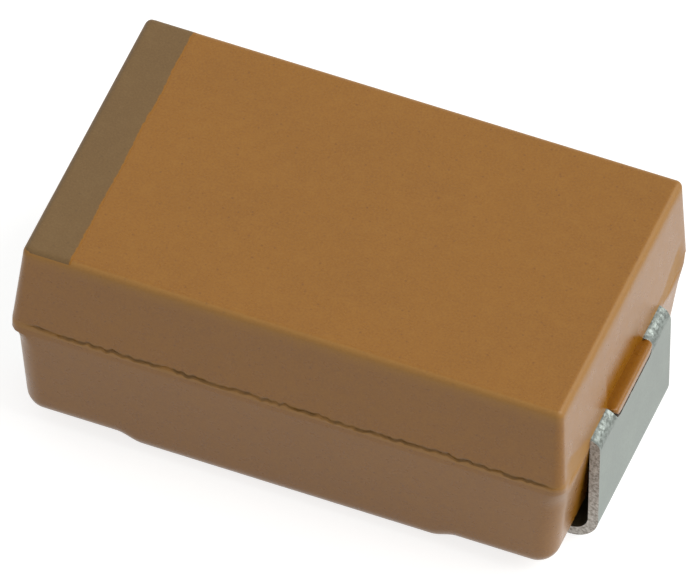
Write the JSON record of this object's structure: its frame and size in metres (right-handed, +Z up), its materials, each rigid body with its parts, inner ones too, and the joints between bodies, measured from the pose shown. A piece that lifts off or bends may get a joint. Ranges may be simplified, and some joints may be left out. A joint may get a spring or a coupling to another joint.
{
  "type": "tantalum capacitor",
  "caption": "Moulded surface-mount tantalum capacitor with a polarity band, drafted resin case and folded, notched end terminals.",
  "frame": {"origin": "on the board plane, under the middle of the case", "axes": "+X along the case from the marked anode end to the cathode end, +Z up from the board, +Y to the back"},
  "size_m": [0.0074, 0.0044, 0.003],
  "materials": {
    "epoxy_resin": "moulded epoxy resin, ochre, fine matt grain",
    "band_ink": "laser-darkened resin of the polarity band, grey-brown, matt",
    "plated_sheet": "matt tin-plated lead frame sheet",
    "sintered_tantalum": "sintered powder metal, dark grey",
    "tantalum_wire": "drawn wire",
    "ptfe": "white PTFE",
    "manganese_dioxide": "black pyrolysed oxide",
    "graphite": "dull graphite coat",
    "silver_paint": "matt silver paint",
    "silver_paste": "cured silver-loaded adhesive"
  },
  "bodies": {
    "root": {"moulded_case": "epoxy_resin", "polarity_band": "band_ink", "anode_terminal": "plated_sheet", "cathode_terminal": "plated_sheet", "tantalum_pellet": "sintered_tantalum", "riser_wire": "tantalum_wire", "insulating_washer": "ptfe", "manganese_dioxide_coat": "manganese_dioxide", "graphite_coat": "graphite", "silver_coat": "silver_paint", "silver_adhesive": "silver_paste"}
  },
  "joints": []
}
